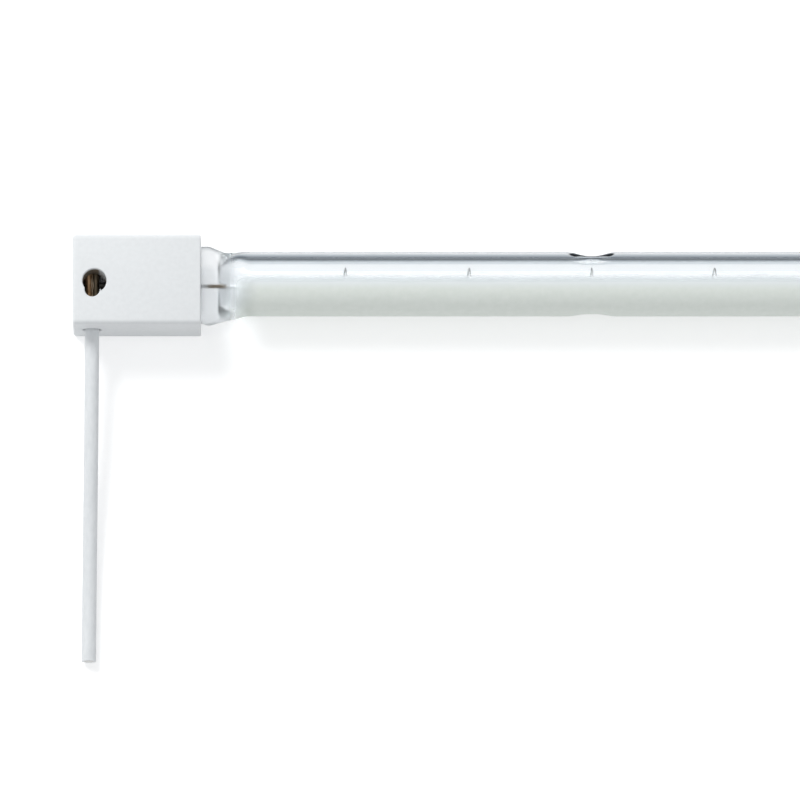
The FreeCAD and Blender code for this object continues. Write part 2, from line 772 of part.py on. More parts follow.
def write_steps():
    """One STEP file for each sub-part, named by its label."""
    os.makedirs("parts", exist_ok=True)
    for piece in sub_parts:
        piece.Shape.exportStep(f"parts/{piece.Label}.step")


fill_sheet()
envelope_outside, hollow_envelope = make_quartz()
inner_lead_outside = make_inner_lead()
foil = make_foil()
pin_outside = make_pin()
sealed_in = fuse("sealed_in", [inner_lead_outside, foil, pin_outside])
left_sealed = cut("left_sealed", hollow_envelope, sealed_in)
quartz_tube = cut("quartz_tube", left_sealed, mirror(sealed_in, "sealed_in_right"))
coating = make_coating(envelope_outside)
filament = make_filament()
supports = make_supports()
left_end = [
    cut("left_inner_lead", inner_lead_outside, foil),
    foil,
    cut("left_outer_pin", pin_outside, foil),
    make_splice(),
    make_lead_core(),
    make_lead(),
    make_cap(),
    make_cement(envelope_outside),
]
right_end = [mirror(piece, piece.Name.replace("left", "right")) for piece in left_end]
sub_parts = [
    quartz_tube,
    coating,
    filament,
    *supports,
    *left_end,
    *right_end,
]
check_document()
write_steps()
for piece in sub_parts:
    print(f"{piece.Label}: {piece.Shape.Volume:.3f} cubic mm")
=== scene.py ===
import json
import math

import bmesh
import bpy
import numpy as np
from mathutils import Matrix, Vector, noise

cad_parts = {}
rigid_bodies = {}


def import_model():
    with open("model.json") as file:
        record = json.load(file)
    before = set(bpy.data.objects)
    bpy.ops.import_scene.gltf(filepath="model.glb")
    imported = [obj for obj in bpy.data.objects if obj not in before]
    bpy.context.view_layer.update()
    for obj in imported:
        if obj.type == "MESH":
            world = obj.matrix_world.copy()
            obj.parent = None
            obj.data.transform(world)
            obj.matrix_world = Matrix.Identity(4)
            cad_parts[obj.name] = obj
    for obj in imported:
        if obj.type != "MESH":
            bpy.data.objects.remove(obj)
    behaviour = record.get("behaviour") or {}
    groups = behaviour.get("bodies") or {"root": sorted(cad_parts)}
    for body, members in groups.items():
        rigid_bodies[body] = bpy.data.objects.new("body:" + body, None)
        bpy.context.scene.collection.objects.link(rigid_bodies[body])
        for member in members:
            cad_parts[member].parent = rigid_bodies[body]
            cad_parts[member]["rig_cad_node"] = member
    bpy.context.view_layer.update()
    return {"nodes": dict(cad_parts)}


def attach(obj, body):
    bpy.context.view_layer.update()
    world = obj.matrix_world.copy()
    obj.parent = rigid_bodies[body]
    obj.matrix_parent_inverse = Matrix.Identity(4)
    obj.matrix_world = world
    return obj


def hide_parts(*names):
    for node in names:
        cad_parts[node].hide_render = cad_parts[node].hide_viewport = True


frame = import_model()

# Lengths are written in millimetres and multiplied by MM where they go into a mesh
MM = 0.001

# The lamp: X along the tube, leads toward -Y, Z up from the floor
TUBE_Y = 0.3
AXIS_Z = 5.3
TUBE_RADIUS = 5.0
BORE_RADIUS = 3.7
TUBE_REACH = 151.1
BORE_END = 154.4
COIL_Y = -0.2
COIL_Z = 5.1
CAP_FACE = 177.7
CAP_MOUTH = 157.7
PINCH_END = 169.4
LEAD_X = 174.73
CAP_WIDTH = 14.25
DIMPLES = (-96.5, 0.0, 96.5)
SUPPORT_PITCH = 19.3


# Meshes


def link(thing):
    bpy.context.scene.collection.objects.link(thing)
    return thing


def piece(name, points, faces, smooth=True):
    """A mesh object from points in millimetres."""
    mesh = bpy.data.meshes.new(name)
    mesh.from_pydata([tuple(c * MM for c in p) for p in points], [], faces)
    mesh.validate()
    mesh.polygons.foreach_set("use_smooth", [smooth] * len(mesh.polygons))
    mesh.update()
    return link(bpy.data.objects.new(name, mesh))


def tube_mesh(rings, closed=True, start=0, capped=True):
    """Points and faces of a skin over rings of equally many points; closed rings join end to end."""
    count = len(rings[0])
    points = [p for ring in rings for p in ring]
    faces = []
    sides = count if closed else count - 1
    for k in range(len(rings) - 1):
        for j in range(sides):
            a = start + k * count + j
            b = start + k * count + (j + 1) % count
            faces.append((a, b, b + count, a + count))
    if closed and capped:
        faces.append(tuple(start + j for j in reversed(range(count))))
        last = start + (len(rings) - 1) * count
        faces.append(tuple(last + j for j in range(count)))
    return points, faces


def join(*parts):
    """Several (points, faces) in one."""
    points, faces = [], []
    for more_points, more_faces in parts:
        base = len(points)
        points += more_points
        faces += [tuple(base + i for i in face) for face in more_faces]
    return points, faces


def mirrored(points, faces):
    """The right end's twin."""
    return [(-x, y, z) for x, y, z in points], [tuple(reversed(face)) for face in faces]


def wire(line, radius, sides=10, closed_ends=True):
    """A round wire along a line of points, with a frame that doesn't twist."""
    line = [Vector(p) for p in line]
    count = len(line)
    normal = None
    rings = []
    for k, p in enumerate(line):
        ahead = line[min(k + 1, count - 1)] - line[max(k - 1, 0)]
        ahead.normalize()
        if normal is None:
            normal = ahead.orthogonal()
        normal = (normal - ahead * normal.dot(ahead)).normalized()
        side = ahead.cross(normal)
        ring = []
        for j in range(sides):
            a = 2 * math.pi * j / sides
            ring.append(tuple(p + normal * (radius * math.cos(a)) + side * (radius * math.sin(a))))
        rings.append(ring)
    return tube_mesh(rings, capped=closed_ends)


def smoothstep(low, high, value):
    t = min(1.0, max(0.0, (value - low) / (high - low)))
    return t * t * (3 - 2 * t)


def slope(table, row, column):
    """Slope of a column at a row: level at the ends and where it turns back."""
    if row in (0, len(table) - 1):
        return 0.0
    middle = table[row]
    before, after = table[row - 1], table[row + 1]
    rising_to = (middle[column] - before[column]) / (middle[0] - before[0])
    rising_from = (after[column] - middle[column]) / (after[0] - middle[0])
    if rising_to * rising_from <= 0:
        return 0.0
    return 2 * rising_to * rising_from / (rising_to + rising_from)


def between(table, x):
    """A row of the table at x: width and middle on straight lines, height and corner on smooth curves."""
    if x <= table[0][0]:
        return table[0][1:]
    if x >= table[-1][0]:
        return table[-1][1:]
    row = max(k for k, entry in enumerate(table) if entry[0] <= x)
    low, high = table[row], table[row + 1]
    span = high[0] - low[0]
    t = (x - low[0]) / span
    values = []
    for column in range(1, len(low)):
        if column in (1, 4):
            values.append(low[column] + (high[column] - low[column]) * t)
            continue
        start, stop = slope(table, row, column) * span, slope(table, row + 1, column) * span
        values.append(
            low[column] * (2 * t**3 - 3 * t**2 + 1)
            + start * (t**3 - 2 * t**2 + t)
            + high[column] * (3 * t**2 - 2 * t**3)
            + stop * (t**3 - t**2)
        )
    return tuple(values)


# Quartz envelope: distance from the middle, half width, half height, corner radius, middle's Y
OUTSIDE = [
    (150.6, 5.0, 5.0, 5.0, TUBE_Y),
    (152.4, 5.18, 4.1, 3.9, -0.036),
    (153.7, 5.33, 2.8, 2.6, -0.26),
    (155.2, 5.883, 1.5, 1.5, -0.169),
    (156.4, 6.32, 1.5, 1.5, -0.1),
    (157.7, 6.1, 1.5, 1.5, 0.1),
    (159.2, 5.8, 1.5, 1.5, 0.0),
    (PINCH_END, 5.8, 1.5, 1.5, 0.0),
]
BORE = [
    (149.8, 3.7, 3.7, 3.7, TUBE_Y),
    (151.8, 3.71, 2.6, 2.5, 0.26),
    (153.2, 3.62, 1.1, 1.05, 0.12),
    (153.9, 3.35, 0.42, 0.40, -0.1),
    (BORE_END, 3.1, 0.15, 0.14, -0.3),
]
AROUND = 96


def polar_reach(angle, wide, high, corner):
    """From the middle of a rounded rectangle to its edge, in the direction of an angle."""
    c, s = abs(math.cos(angle)), abs(math.sin(angle))
    if s > 1e-9 and c * high / s <= wide - corner:
        return high / s
    if c > 1e-9 and s * wide / c <= high - corner:
        return wide / c
    along = c * (wide - corner) + s * (high - corner)
    return along + math.sqrt(
        max(0.0, along * along - (wide - corner) ** 2 - (high - corner) ** 2 + corner * corner)
    )


def dent(x, turn, side_depth, other_depth, width):
    """How far the dimples press the wall in, at a place along and round the tube; turn 0 is +Y."""
    deepest = 0.0
    for middle in DIMPLES:
        along = (x - middle) / 3.9
        if abs(along) < 1:
            for facing, depth in ((0.12, side_depth), (math.pi + 0.12, other_depth)):
                across = TUBE_RADIUS * abs(math.remainder(turn - facing, 2 * math.pi)) / width
                deepest = max(deepest, depth * (1 - smoothstep(0.2, 1.0, math.hypot(along, across))))
    return deepest


def section(table, x, around=AROUND, grow=0.0, depths=(0.62, 0.35, 4.3), turns=None):
    """One ring of the envelope or the bore, grown outward, with the dimples pressed in."""
    wide, high, corner, middle = between(table, abs(x))
    wide, high, corner = wide + grow, high + grow, corner + grow
    ring = []
    for step in range(around) if turns is None else turns:
        t = 2 * math.pi * step / around if turns is None else step
        angle = math.atan2(high * math.sin(t), wide * math.cos(t))
        reach = polar_reach(angle, wide, high, corner) - dent(x, angle, *depths)
        ring.append((x, middle + reach * math.cos(angle), AXIS_Z + reach * math.sin(angle)))
    return ring


def stations(end, taper_start, fine=0.45):
    """Places along the lamp, close where its form changes."""
    places = set()
    for middle in DIMPLES:
        places.update(middle + 4.2 * k / 16 for k in range(-16, 17))
    steps = int((end - taper_start) / fine)
    for k in range(steps + 1):
        x = taper_start + (end - taper_start) * k / steps
        places.update((x, -x))
    places.update(19.3 * k + 9.65 for k in range(-7, 7))
    return sorted(places)


def make_quartz():
    outer = tube_mesh([section(OUTSIDE, x) for x in stations(PINCH_END, 150.2)])
    inner_points, inner_faces = tube_mesh(
        [section(BORE, x, 72, depths=(0.5, 0.0, 2.7)) for x in stations(BORE_END, 149.6, 0.16)]
    )
    inner = inner_points, [tuple(reversed(face)) for face in inner_faces]
    quartz = piece("quartz_envelope", *join(outer, inner))
    for polygon in quartz.data.polygons:
        if len(polygon.vertices) > 4:
            polygon.use_smooth = False
    return quartz


def make_coating():
    """The white reflector: a thin shell on the lead side, its edges closed."""
    half = math.radians(98)
    turns = [math.pi + half * (2 * k / 64 - 1) for k in range(65)]
    places = stations(154.4, 146.0, 0.4)
    outer = [section(OUTSIDE, x, grow=0.12, turns=turns) for x in places]
    inner = [section(OUTSIDE, x, grow=0.015, turns=turns) for x in places]
    rings = [a + b[::-1] for a, b in zip(outer, inner)]
    return piece("reflector_layer", *tube_mesh(rings))


def make_filament():
    """The coil: one round wire wound all along the heated length."""
    pitch, radius, wire_radius, reach = 0.365, 0.805, 0.125, 140.0
    per_turn = 13
    steps = int(2 * (reach - wire_radius) / pitch * per_turn)
    line = []
    for k in range(steps + 1):
        turn = 2 * math.pi * k / per_turn
        x = -reach + wire_radius + pitch * k / per_turn
        line.append((x, COIL_Y + radius * math.cos(turn), COIL_Z + radius * math.sin(turn)))
    return piece("filament_coil", *wire(line, wire_radius, 5))


# How far each support of four in a row is turned, in turns, and the pitch of its loop
LOOPS = [(0.0, 1.35), (-0.06, 1.5), (0.02, 0.75), (0.05, 1.6)]


def support_line(turned, loop_pitch):
    """Centre line of one support, about the middle of its loop."""
    grip, loop, grip_pitch = 1.155, 2.95, 0.40
    turns_grip, spread, turns_loop = 2.3, 0.45, 1.0
    total = turns_grip + spread + turns_loop
    per_turn = 30
    line = []
    x = 0.0
    for k in range(int(total * per_turn) + 1):
        t = k / per_turn
        share = smoothstep(turns_grip, turns_grip + spread, t)
        radius = grip + (loop - grip) * share
        angle = 2 * math.pi * (t - total + 0.5 + turned)
        line.append((x, radius * math.cos(angle), radius * math.sin(angle)))
        x += (grip_pitch + (loop_pitch - grip_pitch) * share) / per_turn
    middle = line[-per_turn // 2][0]
    return [(px - middle, py, pz) for px, py, pz in line]


def make_support(number, x):
    points, faces = wire(support_line(*LOOPS[(number - 1) % 4]), 0.12, 8)
    moved = [(px + x, py + COIL_Y, pz + COIL_Z) for px, py, pz in points]
    return piece(f"support_wire_{number:02d}", moved, faces)


def rounded_block(length, wide, high, edge, end, mouth, steps=6):
    """The cap's block: its long edges rounded, and smaller roundings round its outer face and mouth."""
    stops = []
    for k in range(steps + 1):
        a = math.pi / 2 * k / steps
        stops.append((end * (1 - math.cos(a)), end * (1 - math.sin(a))))
    for k in range(4):
        a = math.pi / 2 * k / 3
        stops.append((length - mouth * (1 - math.sin(a)), mouth * (1 - math.cos(a))))
    rings = []
    for along, inset in stops:
        radius = max(edge - inset, 0.05)
        ring = []
        for quarter in range(4):
            y = (wide / 2 - inset - radius) * (1 if quarter in (0, 3) else -1)
            z = (high / 2 - inset - radius) * (1 if quarter in (0, 1) else -1)
            for k in range(steps + 1):
                a = math.pi / 2 * (quarter + k / steps)
                ring.append((along - CAP_FACE, y + radius * math.cos(a), AXIS_Z + z + radius * math.sin(a)))
        rings.append(ring)
    return tube_mesh(rings)


def stadium(half_long, radius, steps=20):
    """Outline of two half circles and two straights, the long way along its first axis."""
    outline = []
    for end in (1, -1):
        for k in range(steps + 1):
            a = -math.pi / 2 + math.pi * k / steps + (0 if end == 1 else math.pi)
            outline.append((end * half_long + radius * math.cos(a), radius * math.sin(a)))
    return outline


def keyhole(grow):
    """Outline of the splice hole: a round opening that runs out in a channel as wide as the ferrule."""
    middle_x, middle_y, radius = -174.3, -0.24, 1.9 + grow
    channel_x, channel_y, half = -174.65, -1.6, 1.2 + grow
    meets_far = math.asin((channel_x + half - middle_x) / radius)
    meets_near = math.asin((middle_x - channel_x + half) / radius) if half < 1.55 else math.pi / 2
    outline = []
    for k in range(37):
        a = -math.pi / 2 + meets_far + (2 * math.pi - meets_far - meets_near) * k / 36
        outline.append((middle_x + radius * math.cos(a), middle_y + radius * math.sin(a)))
    for k in range(17):
        a = math.pi + math.pi * k / 16
        outline.append((channel_x + half * math.cos(a), channel_y + half * math.sin(a)))
    return outline


def cutter(rings):
    return piece("cutter", *tube_mesh(rings), smooth=False)


def make_cap():
    """The pressed ceramic cap of the left end, cut by its slot and bores."""
    block = piece("left_ceramic_cap", *rounded_block(20.0, CAP_WIDTH, 10.6, 0.7, 0.5, 0.2))
    cutters = []
    flare = 0.12
    mouth_rings = [(-CAP_MOUTH + 1.0, flare), (-CAP_MOUTH, flare), (-CAP_MOUTH - flare, 0.0), (-169.9, 0.0)]
    cutters.append(
        [[(x, p[0], AXIS_Z + p[1]) for p in stadium(4.45, 1.9 + g)][::-1] for x, g in mouth_rings]
    )
    hole_rings = [(11.0, flare), (10.6, flare), (10.6 - flare, 0.0), (3.3, 0.0)]
    cutters.append([[(x, y, z) for x, y in keyhole(g)] for z, g in hole_rings])
    bore_rings = [(-8.0, flare), (-7.125, flare), (-7.125 + flare, 0.0), (2.575, 0.0)]
    cutters.append(
        [
            [
                (-LEAD_X + (1.45 + g) * math.cos(a), y, AXIS_Z + (1.45 + g) * math.sin(a))
                for a in [2 * math.pi * k / 40 for k in range(40)]
            ][::-1]
            for y, g in bore_rings
        ]
    )
    pin_rings = [(-169.0, 0.0), (-173.0, 0.0)]
    cutters.append(
        [
            [(x, 0.65 * math.cos(a), AXIS_Z + 0.65 * math.sin(a)) for a in
             [2 * math.pi * k / 24 for k in range(24)]][::-1]
            for x, g in pin_rings
        ]
    )
    for rings in cutters:
        tool = cutter(rings)
        if volume(tool) < 0:
            tool.data.flip_normals()
        cut = block.modifiers.new("cut", "BOOLEAN")
        cut.operation = "DIFFERENCE"
        cut.solver = "EXACT"
        cut.object = tool
        apply_modifiers(block)
        bpy.data.objects.remove(tool)
    block.data.set_sharp_from_angle(angle=math.radians(32))
    return block


def volume(thing):
    made = bmesh.new()
    made.from_mesh(thing.data)
    value = made.calc_volume(signed=True)
    made.free()
    return value


def apply_modifiers(thing):
    """Put the modified mesh in place of the object's own."""
    bpy.context.view_layer.update()
    graph = bpy.context.evaluated_depsgraph_get()
    mesh = bpy.data.meshes.new_from_object(thing.evaluated_get(graph))
    thing.modifiers.clear()
    thing.data = mesh


def make_splice():
    """The crimp ferrule: sheet rolled round the conductor, its wings turned down along the middle."""
    half_sheet = 0.145
    lobe, body = 0.4175, 0.985
    centre = []
    for k in range(4):
        centre.append((-0.155, -0.26 + 0.26 * k / 4))
    for k in range(13):
        a = math.pi * k / 12
        centre.append((-0.5675 + lobe * math.cos(a) - 0.005, lobe * math.sin(a)))
    for k in range(1, 25):
        a = math.pi + math.pi * k / 24
        centre.append((body * math.cos(a), body * math.sin(a)))
    for k in range(1, 13):
        a = math.pi * k / 12
        centre.append((0.5675 + lobe * math.cos(a) + 0.005, lobe * math.sin(a)))
    for k in range(1, 5):
        centre.append((0.155, -0.26 * k / 4))
    count = len(centre)
    inner, outer = [], []
    for k, (px, pz) in enumerate(centre):
        ax, az = centre[max(k - 1, 0)]
        bx, bz = centre[min(k + 1, count - 1)]
        length = math.hypot(bx - ax, bz - az)
        nx, nz = (bz - az) / length, -(bx - ax) / length
        outer.append((px - nx * half_sheet, pz - nz * half_sheet))
        inner.append((px + nx * half_sheet, pz + nz * half_sheet))
    outline = outer + inner[::-1]
    rings = []
    first, last = -2.9, 1.75
    steps = 26
    for k in range(steps + 1):
        y = first + (last - first) * k / steps
        near_end = min(y - first, last - y)
        spread = 1.0 - 0.05 * smoothstep(0.15, 0.7, near_end)
        press = 0.10 * (1 - smoothstep(0.5, 1.1, abs(y - 0.5 * (first + last) - 0.3)))
        ring = []
        for px, pz in outline:
            qx = px * spread
            qz = pz * spread - (press if pz > 0.1 else 0.0)
            ring.append((-LEAD_X + qx, y, AXIS_Z + qz))
        rings.append(ring)
    return tube_mesh(rings)


def make_strands(name, end_y, start_y, radius, seed_turn):
    """Nineteen strands of the conductor, side by side."""
    parts = []
    strand = radius / 5
    for ring, count in ((0, 1), (1, 6), (2, 12)):
        for k in range(count):
            a0 = 2 * math.pi * k / count
            line = []
            for step in range(13):
                t = step / 12
                y = start_y + (end_y - start_y) * t
                a = a0 + seed_turn * t
                r = ring * 2 * strand * 0.99
                line.append((-LEAD_X + r * math.cos(a), y, AXIS_Z - 0.1 + 0.72 * r * math.sin(a)))
            parts.append(wire(line, strand * 0.97, 7))
    return join(*parts)


def lead_points(sign):
    """The route of a lead: the same points as the solid lead's, in millimetres."""
    side = CAP_WIDTH / 2
    return [
        (sign * LEAD_X, -3.425, AXIS_Z),
        (sign * LEAD_X, -side - 11.2, AXIS_Z),
        (sign * (LEAD_X + 0.32), -side - 36.8, 1.125),
        (sign * (LEAD_X + 0.42), -side - 52.0, 1.125),
    ]


def make_lead(name, sign):
    curve = bpy.data.curves.new(name, "CURVE")
    curve.dimensions = "3D"
    curve.bevel_depth = 1.125 * MM
    curve.bevel_resolution = 6
    curve.resolution_u = 24
    curve.use_fill_caps = True
    spline = curve.splines.new("NURBS")
    points = lead_points(sign)
    spline.points.add(len(points) - 1)
    for point, place in zip(spline.points, points):
        point.co = (*[c * MM for c in place], 1.0)
    spline.order_u = 3
    spline.use_endpoint_u = True
    return link(bpy.data.objects.new(name, curve))


# Materials


def new_material(name):
    material = bpy.data.materials.new(name)
    material.use_nodes = True
    nodes = material.node_tree.nodes
    nodes.clear()
    output = nodes.new("ShaderNodeOutputMaterial")
    shader = nodes.new("ShaderNodeBsdfPrincipled")
    material.node_tree.links.new(shader.outputs[0], output.inputs[0])
    return material, shader


def add(material, kind, **settings):
    node = material.node_tree.nodes.new(kind)
    for key, value in settings.items():
        if hasattr(node, key):
            setattr(node, key, value)
        else:
            node.inputs[key.replace("_", " ")].default_value = value
    return node


def wire_up(material, source, target):
    material.node_tree.links.new(source, target)


def set_inputs(node, **values):
    for key, value in values.items():
        node.inputs[key.replace("_", " ")].default_value = value


def grain(material, shader, scale, bump, distance, stretch=(1, 1, 1), detail=3.0):
    """Fine unevenness of the surface from noise in object space; returns the noise."""
    place = add(material, "ShaderNodeTexCoord")
    mapping = add(material, "ShaderNodeMapping")
    mapping.inputs["Scale"].default_value = stretch
    wire_up(material, place.outputs["Object"], mapping.inputs["Vector"])
    texture = add(material, "ShaderNodeTexNoise", Scale=scale, Detail=detail)
    wire_up(material, mapping.outputs[0], texture.inputs["Vector"])
    bumps = add(material, "ShaderNodeBump", Strength=bump, Distance=distance)
    wire_up(material, texture.outputs["Fac"], bumps.inputs["Height"])
    wire_up(material, bumps.outputs[0], shader.inputs["Normal"])
    return texture


def mottle(material, shader, source, dark, light, low=0.3, high=0.7):
    """Colour that wanders between two tones with a noise."""
    ramp = add(material, "ShaderNodeValToRGB")
    ramp.color_ramp.elements[0].position = low
    ramp.color_ramp.elements[0].color = (*dark, 1)
    ramp.color_ramp.elements[1].position = high
    ramp.color_ramp.elements[1].color = (*light, 1)
    wire_up(material, source, ramp.inputs["Fac"])
    wire_up(material, ramp.outputs["Color"], shader.inputs["Base Color"])
    return ramp


def quartz_material():
    material, glass = new_material("quartz")
    set_inputs(glass, Base_Color=(0.97, 0.988, 1.0, 1), Roughness=0.0, IOR=1.458, Transmission_Weight=1.0)
    grain(material, glass, 260.0, 0.03, 0.0004, stretch=(0.12, 1, 1), detail=1.0)
    place = add(material, "ShaderNodeTexCoord")
    split = add(material, "ShaderNodeSeparateXYZ")
    wire_up(material, place.outputs["Object"], split.inputs[0])
    reach = maths(material, "ABSOLUTE", split.outputs["X"])
    # Where the glass is pressed it turns frosted, and the grey tint there is painted shade.
    pressed = ramp_value(material, reach, 0.1508, 0.1542)
    wire_up(material, maths(material, "MULTIPLY", pressed, 0.38), glass.inputs["Roughness"])
    tint = add(material, "ShaderNodeRGB")
    tint.outputs[0].default_value = (0.97, 0.988, 1.0, 1)
    wire_up(material, mixed(material, pressed, tint.outputs[0], (0.93, 0.95, 0.965)), glass.inputs["Base Color"])
    clear = add(material, "ShaderNodeBsdfTransparent", Color=(0.93, 0.95, 0.96, 1))
    path = add(material, "ShaderNodeLightPath")
    mix = add(material, "ShaderNodeMixShader")
    wire_up(material, path.outputs["Is Shadow Ray"], mix.inputs[0])
    wire_up(material, glass.outputs[0], mix.inputs[1])
    wire_up(material, clear.outputs[0], mix.inputs[2])
    output = next(n for n in material.node_tree.nodes if n.type == "OUTPUT_MATERIAL")
    wire_up(material, mix.outputs[0], output.inputs[0])
    return material


def maths(material, operation, first, second=None, clamp=False):
    node = add(material, "ShaderNodeMath", operation=operation, use_clamp=clamp)
    for socket, value in zip(node.inputs, (first, second)):
        if value is None:
            continue
        if isinstance(value, (int, float)):
            socket.default_value = value
        else:
            wire_up(material, value, socket)
    return node.outputs[0]


def ramp_value(material, source, low, high):
    """0 at low and 1 at high, smooth between."""
    node = add(material, "ShaderNodeMapRange", interpolation_type="SMOOTHSTEP")
    wire_up(material, source, node.inputs["Value"])
    set_inputs(node, From_Min=low, From_Max=high)
    return node.outputs["Result"]


def mixed(material, share, first, second):
    """A linked colour that turns into a plain one as the share rises."""
    node = add(material, "ShaderNodeMix", data_type="RGBA")
    wire_up(material, share, node.inputs[0])
    wire_up(material, first, node.inputs[6])
    node.inputs[7].default_value = (*second, 1)
    return node.outputs[2]


def coating_material():
    material, shader = new_material("reflector")
    set_inputs(shader, Roughness=0.55, IOR=1.5)
    texture = grain(material, shader, 900.0, 0.25, 0.00006)
    thick = mottle(material, shader, texture.outputs["Fac"], (0.815, 0.865, 0.81), (0.855, 0.90, 0.85))
    place = add(material, "ShaderNodeTexCoord")
    split = add(material, "ShaderNodeSeparateXYZ")
    wire_up(material, place.outputs["Object"], split.inputs[0])
    across = maths(material, "SUBTRACT", TUBE_Y * MM, split.outputs["Y"])
    up = maths(material, "ABSOLUTE", maths(material, "SUBTRACT", split.outputs["Z"], AXIS_Z * MM))
    turn = maths(material, "ARCTAN2", across, up)
    wobble = add(material, "ShaderNodeTexNoise", Scale=180.0, Detail=2.0)
    wire_up(material, place.outputs["Object"], wobble.inputs["Vector"])
    shift = maths(material, "MULTIPLY", maths(material, "SUBTRACT", wobble.outputs["Fac"], 0.5), 0.10)
    along_edge = ramp_value(material, maths(material, "ADD", turn, shift), -0.15, 0.19)
    reach = maths(material, "ABSOLUTE", split.outputs["X"])
    limit = maths(material, "ADD", maths(material, "MULTIPLY", turn, 0.0030), 0.1550)
    near_end = maths(material, "SUBTRACT", limit, maths(material, "ADD", reach, maths(material, "MULTIPLY", shift, 0.004)))
    at_end = maths(material, "POWER", ramp_value(material, near_end, 0.0, 0.0085), 2.0)
    thin_edge = maths(material, "SUBTRACT", 1.0, ramp_value(material, turn, 0.05, 0.42))
    film = maths(material, "MAXIMUM", thin_edge, maths(material, "SUBTRACT", 1.0, at_end))
    film_end = ramp_value(material, maths(material, "ADD", reach, maths(material, "MULTIPLY", shift, 0.004)), 0.1541, 0.1485)
    wire_up(material, mixed(material, film, thick.outputs["Color"], (0.86, 0.91, 0.93)), shader.inputs["Base Color"])
    alpha = maths(material, "MULTIPLY", along_edge, film_end, clamp=True)
    wire_up(material, alpha, shader.inputs["Alpha"])
    return material


def ceramic_material():
    material, shader = new_material("cap_ceramic")
    set_inputs(shader, Roughness=0.62, IOR=1.5)
    texture = grain(material, shader, 1400.0, 0.35, 0.00005, detail=5.0)
    ceramic_tone = mottle(material, shader, texture.outputs["Fac"], (0.81, 0.83, 0.84), (0.845, 0.865, 0.875))
    place = add(material, "ShaderNodeTexCoord")
    split = add(material, "ShaderNodeSeparateXYZ")
    wire_up(material, place.outputs["Object"], split.inputs[0])
    reach = maths(material, "ABSOLUTE", split.outputs["X"])
    across = maths(material, "ABSOLUTE", maths(material, "ADD", split.outputs["Y"], 0.5 * MM))
    # Painted shade: inside the splice hole the walls are painted dark brown where shade falls.
    painted_hole_shade = ramp_value(material, reach, 173.4 * MM, 173.8 * MM)
    painted_hole_shade = maths(material, "MULTIPLY", painted_hole_shade, ramp_value(material, reach, 176.6 * MM, 176.25 * MM))
    painted_hole_shade = maths(material, "MULTIPLY", painted_hole_shade, ramp_value(material, across, 2.6 * MM, 2.25 * MM))
    painted_hole_shade = maths(material, "MULTIPLY", painted_hole_shade, ramp_value(material, split.outputs["Z"], 10.3 * MM, 9.5 * MM))
    wire_up(material, mixed(material, painted_hole_shade, ceramic_tone.outputs["Color"], (0.20, 0.16, 0.12)), shader.inputs["Base Color"])
    return material


def cement_material():
    material, shader = new_material("cement")
    set_inputs(shader, Roughness=0.9)
    texture = grain(material, shader, 2200.0, 0.8, 0.00012, detail=6.0)
    mottle(material, shader, texture.outputs["Fac"], (0.55, 0.54, 0.52), (0.76, 0.75, 0.73))
    return material


def metal_material(name, dark, light, roughness, scale=1200.0, stretch=(1, 1, 1), bump=0.2):
    material, shader = new_material(name)
    set_inputs(shader, Metallic=1.0, Roughness=roughness)
    texture = grain(material, shader, scale, bump, 0.00003, stretch=stretch)
    mottle(material, shader, texture.outputs["Fac"], dark, light)
    return material


def lead_material():
    material, shader = new_material("lead_insulation")
    set_inputs(shader, Roughness=0.55, IOR=1.45)
    texture = grain(material, shader, 1500.0, 0.3, 0.00005, stretch=(1, 0.35, 1))
    mottle(material, shader, texture.outputs["Fac"], (0.75, 0.775, 0.79), (0.82, 0.84, 0.855))
    return material


def inner_lead_material():
    """Bright drawn wire, with a brown oxide band where the seal begins."""
    material = metal_material("inner_lead_metal", (0.80, 0.81, 0.82), (0.86, 0.87, 0.88), 0.6)
    shader = next(n for n in material.node_tree.nodes if n.type == "BSDF_PRINCIPLED")
    bright = shader.inputs["Base Color"].links[0].from_socket
    place = add(material, "ShaderNodeTexCoord")
    split = add(material, "ShaderNodeSeparateXYZ")
    wire_up(material, place.outputs["Object"], split.inputs[0])
    reach = maths(material, "ABSOLUTE", split.outputs["X"])
    band = ramp_value(material, reach, 152.7 * MM, 153.6 * MM)
    band = maths(material, "MULTIPLY", band, ramp_value(material, reach, 157.2 * MM, 156.0 * MM))
    wire_up(material, mixed(material, band, bright, (0.22, 0.16, 0.10)), shader.inputs["Base Color"])
    return material


def splice_material():
    """Bronze sheet browned by heat, with painted shade darkening the half next to the pin."""
    name, dark, light = "splice_metal", (0.34, 0.20, 0.10), (0.66, 0.44, 0.26)
    material = metal_material(name, dark, light, 0.5, 900.0, (1, 0.3, 1), 0.5)
    shader = next(n for n in material.node_tree.nodes if n.type == "BSDF_PRINCIPLED")
    bright = shader.inputs["Base Color"].links[0].from_socket
    place = add(material, "ShaderNodeTexCoord")
    split = add(material, "ShaderNodeSeparateXYZ")
    wire_up(material, place.outputs["Object"], split.inputs[0])
    reach = maths(material, "ABSOLUTE", split.outputs["X"])
    # Painted shade: the half of the ferrule next to the pin is darkened.
    painted_shade_half = ramp_value(material, reach, 175.0 * MM, 174.6 * MM)
    wire_up(material, mixed(material, painted_shade_half, bright, (0.20, 0.16, 0.11)), shader.inputs["Base Color"])
    return material


def dress(thing, material):
    """Give an object its material, and let it ride."""
    data = thing.data
    data.materials.clear()
    data.materials.append(material)
    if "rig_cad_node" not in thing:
        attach(thing, "root")
    return thing


